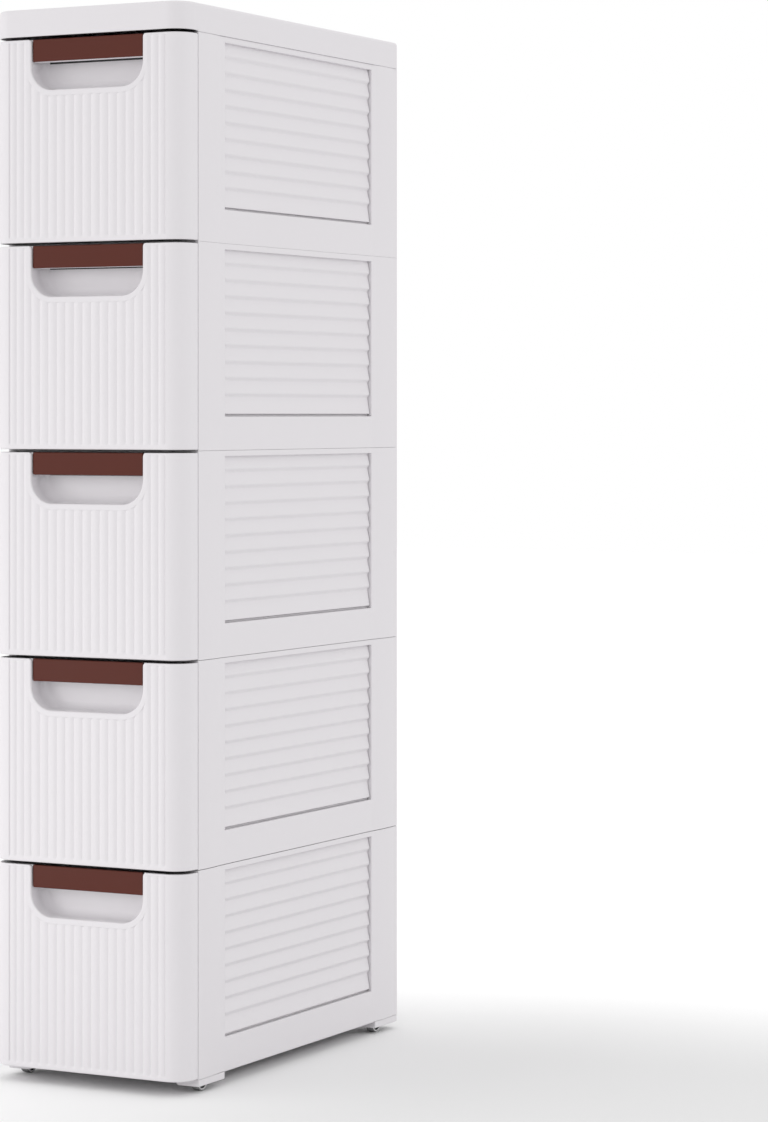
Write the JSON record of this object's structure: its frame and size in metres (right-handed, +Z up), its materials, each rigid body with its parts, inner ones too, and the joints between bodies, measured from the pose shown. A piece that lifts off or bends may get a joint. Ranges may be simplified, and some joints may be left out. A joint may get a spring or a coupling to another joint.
{
  "type": "drawer tower",
  "caption": "Slim rolling tower of stacked plastic drawers with fluted fronts, bar handles over finger pockets and louvred side panels.",
  "frame": {"origin": "on the floor under the middle of the tower", "axes": "+Z up along the tower, the drawers open towards -Y, +X to the viewer's right"},
  "size_m": [0.22, 0.445, 1.052],
  "materials": {
    "white_front": "satin moulded",
    "white_panel": "satin moulded",
    "white_tub": "satin moulded",
    "brown_bar": "satin moulded",
    "roller_plastic": "satin moulded",
    "axle_steel": "plain"
  },
  "bodies": {
    "carcass": {"base": "white_panel", "lid": "white_panel", "side_left_1": "white_panel", "side_right_1": "white_panel", "back_1": "white_panel", "shelf_1": "white_panel", "side_left_2": "white_panel", "side_right_2": "white_panel", "back_2": "white_panel", "shelf_2": "white_panel", "side_left_3": "white_panel", "side_right_3": "white_panel", "back_3": "white_panel", "shelf_3": "white_panel", "side_left_4": "white_panel", "side_right_4": "white_panel", "back_4": "white_panel", "shelf_4": "white_panel", "side_left_5": "white_panel", "side_right_5": "white_panel", "back_5": "white_panel", "roller_housing_front_left": "roller_plastic", "roller_axle_front_left": "axle_steel", "roller_housing_front_right": "roller_plastic", "roller_axle_front_right": "axle_steel", "roller_housing_rear_left": "roller_plastic", "roller_axle_rear_left": "axle_steel", "roller_housing_rear_right": "roller_plastic", "roller_axle_rear_right": "axle_steel"},
    "drawer_1": {"drawer_tub_1": "white_tub", "drawer_front_1": "white_front", "handle_1": "brown_bar"},
    "drawer_2": {"drawer_tub_2": "white_tub", "drawer_front_2": "white_front", "handle_2": "brown_bar"},
    "drawer_3": {"drawer_tub_3": "white_tub", "drawer_front_3": "white_front", "handle_3": "brown_bar"},
    "drawer_4": {"drawer_tub_4": "white_tub", "drawer_front_4": "white_front", "handle_4": "brown_bar"},
    "drawer_5": {"drawer_tub_5": "white_tub", "drawer_front_5": "white_front", "handle_5": "brown_bar"},
    "wheel_front_left": {"roller_wheel_front_left": "roller_plastic"},
    "wheel_front_right": {"roller_wheel_front_right": "roller_plastic"},
    "wheel_rear_left": {"roller_wheel_rear_left": "roller_plastic"},
    "wheel_rear_right": {"roller_wheel_rear_right": "roller_plastic"}
  },
  "joints": [
    {"name": "drawer_1_slide", "type": "slide", "parent": "carcass", "child": "drawer_1", "axis": [0, -1, 0], "range_m": [0, 0.3]},
    {"name": "drawer_2_slide", "type": "slide", "parent": "carcass", "child": "drawer_2", "axis": [0, -1, 0], "range_m": [0, 0.3]},
    {"name": "drawer_3_slide", "type": "slide", "parent": "carcass", "child": "drawer_3", "axis": [0, -1, 0], "range_m": [0, 0.3]},
    {"name": "drawer_4_slide", "type": "slide", "parent": "carcass", "child": "drawer_4", "axis": [0, -1, 0], "range_m": [0, 0.3]},
    {"name": "drawer_5_slide", "type": "slide", "parent": "carcass", "child": "drawer_5", "axis": [0, -1, 0], "range_m": [0, 0.3]},
    {"name": "wheel_front_left_spin", "type": "hinge", "parent": "carcass", "child": "wheel_front_left", "pos_m": [-0.0985, -0.174, 0.01], "axis": [1, 0, 0], "continuous": true},
    {"name": "wheel_front_right_spin", "type": "hinge", "parent": "carcass", "child": "wheel_front_right", "pos_m": [0.0985, -0.174, 0.01], "axis": [1, 0, 0], "continuous": true},
    {"name": "wheel_rear_left_spin", "type": "hinge", "parent": "carcass", "child": "wheel_rear_left", "pos_m": [-0.0985, 0.1865, 0.01], "axis": [1, 0, 0], "continuous": true},
    {"name": "wheel_rear_right_spin", "type": "hinge", "parent": "carcass", "child": "wheel_rear_right", "pos_m": [0.0985, 0.1865, 0.01], "axis": [1, 0, 0], "continuous": true}
  ]
}
